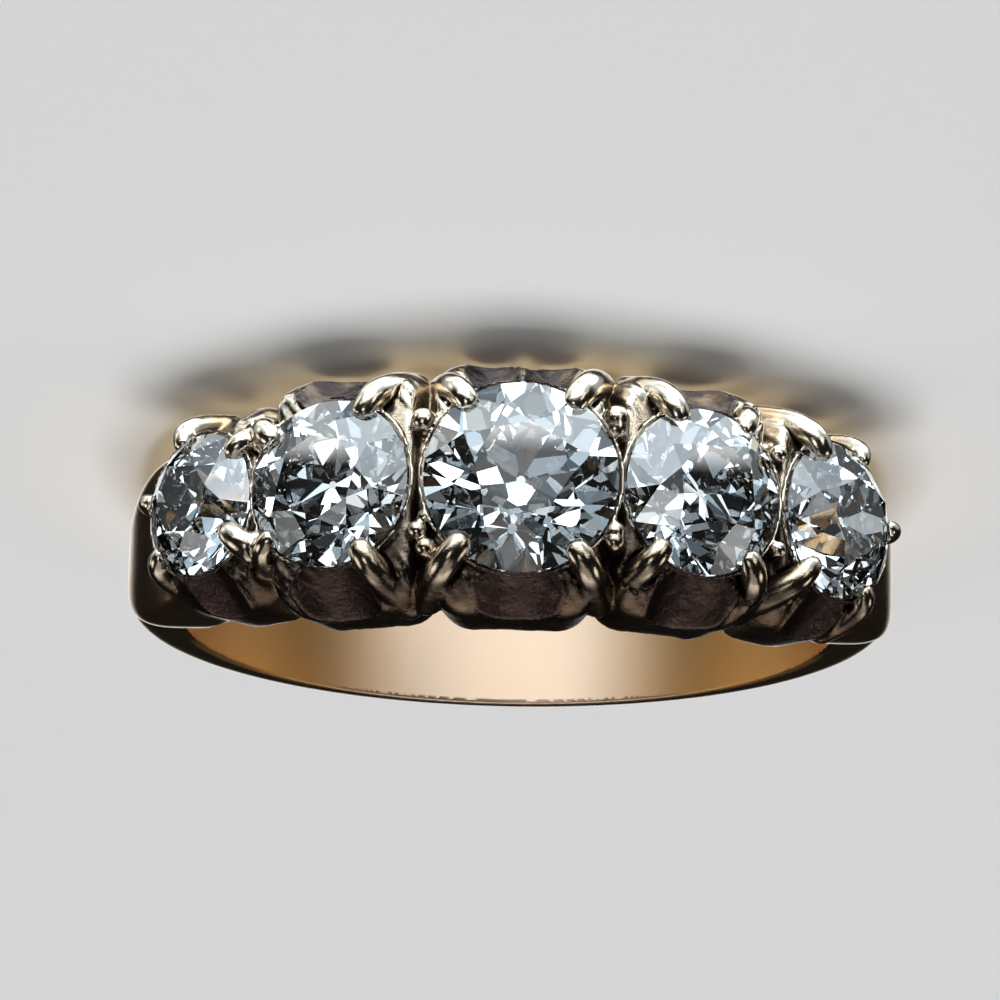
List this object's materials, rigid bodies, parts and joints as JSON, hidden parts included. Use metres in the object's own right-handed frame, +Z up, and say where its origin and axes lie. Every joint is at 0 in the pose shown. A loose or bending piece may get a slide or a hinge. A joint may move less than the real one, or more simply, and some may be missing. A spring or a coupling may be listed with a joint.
{
  "type": "five stone ring",
  "caption": "Half hoop finger ring: a plain tapering gold band with a carved head that holds graduated round old-cut diamonds in claws.",
  "frame": {"origin": "on the surface that the ring lies on, under the middle of its box", "axes": "+Z up from the surface, close to the finger hole's axis; -Y towards the head and its stones; +X towards the smaller outer stone"},
  "size_m": [0.021, 0.0228, 0.0069],
  "materials": {
    "gold": "polished",
    "diamond": "gloss"
  },
  "bodies": {
    "root": {"band_and_setting": "gold", "outer_stone_a": "diamond", "inner_stone_a": "diamond", "centre_stone": "diamond", "inner_stone_b": "diamond", "outer_stone_b": "diamond"}
  },
  "joints": []
}
